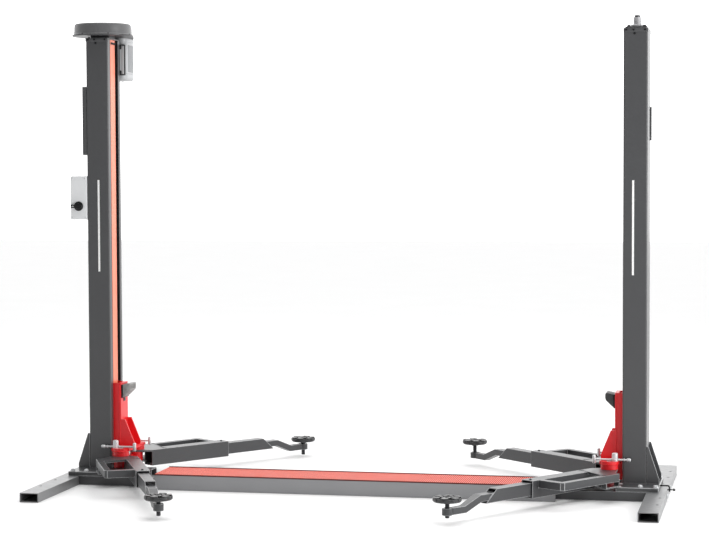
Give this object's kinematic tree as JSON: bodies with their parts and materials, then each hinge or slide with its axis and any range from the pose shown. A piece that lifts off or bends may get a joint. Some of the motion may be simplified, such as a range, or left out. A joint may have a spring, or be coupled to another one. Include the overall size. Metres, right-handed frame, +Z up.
{
  "type": "two post car lift",
  "caption": "Free-standing screw lift with twin posts on a floor frame, sliding carriages and swinging telescopic arms with pads.",
  "frame": {"origin": "midway between the two posts, at floor level", "axes": "+X from the drive post to the other post, +Y to the rear, +Z up"},
  "size_m": [3.4, 2.5117, 2.614],
  "materials": {
    "floor_steel": "satin grey paint",
    "dark_paint": "satin anthracite paint",
    "channel_paint": "satin light grey paint",
    "red_plastic": "moulded red plastic",
    "spindle_steel": "turned steel",
    "dark_plastic": "textured moulded plastic",
    "motor_alloy": "cast alloy",
    "box_paint": "textured light grey powder coat",
    "black_plastic": "moulded black plastic",
    "red_paint": "gloss red paint",
    "zinc": "zinc plated",
    "rubber": "moulded rubber",
    "arm_paint": "satin grey paint",
    "pad_rubber": "ribbed rubber",
    "screw_steel": "blackened steel"
  },
  "bodies": {
    "root": {"left_cross_tube": "floor_steel", "right_cross_tube": "floor_steel", "front_floor_beam": "dark_paint", "rear_floor_beams": "dark_paint", "left_base_plate": "dark_paint", "right_base_plate": "dark_paint", "floor_channel": "channel_paint", "floor_channel_rests": "dark_paint", "floor_tread": "red_plastic", "left_post": "dark_paint", "right_post": "dark_paint", "left_top_plate": "dark_paint", "right_top_plate": "dark_paint", "left_post_gussets": "dark_paint", "right_post_gussets": "dark_paint", "left_spindle": "spindle_steel", "right_spindle": "spindle_steel", "right_spindle_cap": "spindle_steel", "left_cover_band": "red_plastic", "right_cover_band": "red_plastic", "drive_plate": "dark_paint", "drive_cover": "dark_plastic", "motor": "motor_alloy", "control_box": "box_paint", "cable_duct": "dark_paint", "limit_switch_box": "dark_paint"},
    "switch": {"main_switch": "black_plastic"},
    "left_lift": {"left_carriage": "red_paint", "left_hinge_pins": "zinc", "left_arm_locks": "zinc", "left_door_bumper": "rubber"},
    "right_lift": {"right_carriage": "red_paint", "right_hinge_pins": "zinc", "right_arm_locks": "zinc", "right_door_bumper": "rubber"},
    "left_front_swing": {"left_front_arm": "arm_paint"},
    "left_front_slide": {"left_front_extension": "arm_paint"},
    "left_front_lifting_pad": {"left_front_pad": "pad_rubber", "left_front_pad_screw": "screw_steel"},
    "left_rear_swing": {"left_rear_arm": "arm_paint"},
    "left_rear_slide": {"left_rear_extension": "arm_paint"},
    "left_rear_lifting_pad": {"left_rear_pad": "pad_rubber", "left_rear_pad_screw": "screw_steel"},
    "right_front_swing": {"right_front_arm": "arm_paint"},
    "right_front_slide": {"right_front_extension": "arm_paint"},
    "right_front_lifting_pad": {"right_front_pad": "pad_rubber", "right_front_pad_screw": "screw_steel"},
    "right_rear_swing": {"right_rear_arm": "arm_paint"},
    "right_rear_slide": {"right_rear_extension": "arm_paint"},
    "right_rear_lifting_pad": {"right_rear_pad": "pad_rubber", "right_rear_pad_screw": "screw_steel"}
  },
  "joints": [
    {"name": "left_carriage_lift", "type": "slide", "parent": "root", "child": "left_lift", "axis": [0, 0, 1], "range_m": [0, 1.85]},
    {"name": "right_carriage_lift", "type": "slide", "parent": "root", "child": "right_lift", "axis": [0, 0, 1], "range_m": [0, 1.85]},
    {"name": "left_front_arm_swing", "type": "hinge", "parent": "left_lift", "child": "left_front_swing", "pos_m": [-1.387, -0.14, 0.061], "axis": [0, 0, 1], "range_deg": [-25, 9.5]},
    {"name": "left_front_arm_slide", "type": "slide", "parent": "left_front_swing", "child": "left_front_slide", "axis": [0.4226, -0.9063, 0], "range_m": [-0.333, 0.037]},
    {"name": "left_front_pad_raise", "type": "slide", "parent": "left_front_slide", "child": "left_front_lifting_pad", "axis": [0, 0, 1], "range_m": [-0.006, 0.029]},
    {"name": "left_rear_arm_swing", "type": "hinge", "parent": "left_lift", "child": "left_rear_swing", "pos_m": [-1.387, 0.14, 0.061], "axis": [0, 0, -1], "range_deg": [-36.1, 33.9]},
    {"name": "left_rear_arm_slide", "type": "slide", "parent": "left_rear_swing", "child": "left_rear_slide", "axis": [0.5892, 0.808, 0], "range_m": [-0.301, 0.069]},
    {"name": "left_rear_pad_raise", "type": "slide", "parent": "left_rear_slide", "child": "left_rear_lifting_pad", "axis": [0, 0, 1], "range_m": [0, 0.035]},
    {"name": "right_front_arm_swing", "type": "hinge", "parent": "right_lift", "child": "right_front_swing", "pos_m": [1.387, -0.14, 0.061], "axis": [0, 0, -1], "range_deg": [-34, 0.5]},
    {"name": "right_front_arm_slide", "type": "slide", "parent": "right_front_swing", "child": "right_front_slide", "axis": [-0.5592, -0.829, 0], "range_m": [-0.287, 0.083]},
    {"name": "right_front_pad_raise", "type": "slide", "parent": "right_front_slide", "child": "right_front_lifting_pad", "axis": [0, 0, 1], "range_m": [-0.018, 0.017]},
    {"name": "right_rear_arm_swing", "type": "hinge", "parent": "right_lift", "child": "right_rear_swing", "pos_m": [1.387, 0.14, 0.061], "axis": [0, 0, 1], "range_deg": [-46.4, 23.6]},
    {"name": "right_rear_arm_slide", "type": "slide", "parent": "right_rear_swing", "child": "right_rear_slide", "axis": [-0.7242, 0.6896, 0], "range_m": [-0.26, 0.11]},
    {"name": "right_rear_pad_raise", "type": "slide", "parent": "right_rear_slide", "child": "right_rear_lifting_pad", "axis": [0, 0, 1], "range_m": [-0.035, 0]},
    {"name": "main_switch_turn", "type": "hinge", "parent": "root", "child": "switch", "pos_m": [-1.635, -0.11, 1.575], "axis": [0, 1, 0], "range_deg": [0, 90]}
  ],
  "couplings": [
    {"joint": "right_carriage_lift", "follows": "left_carriage_lift", "ratio": 1}
  ]
}
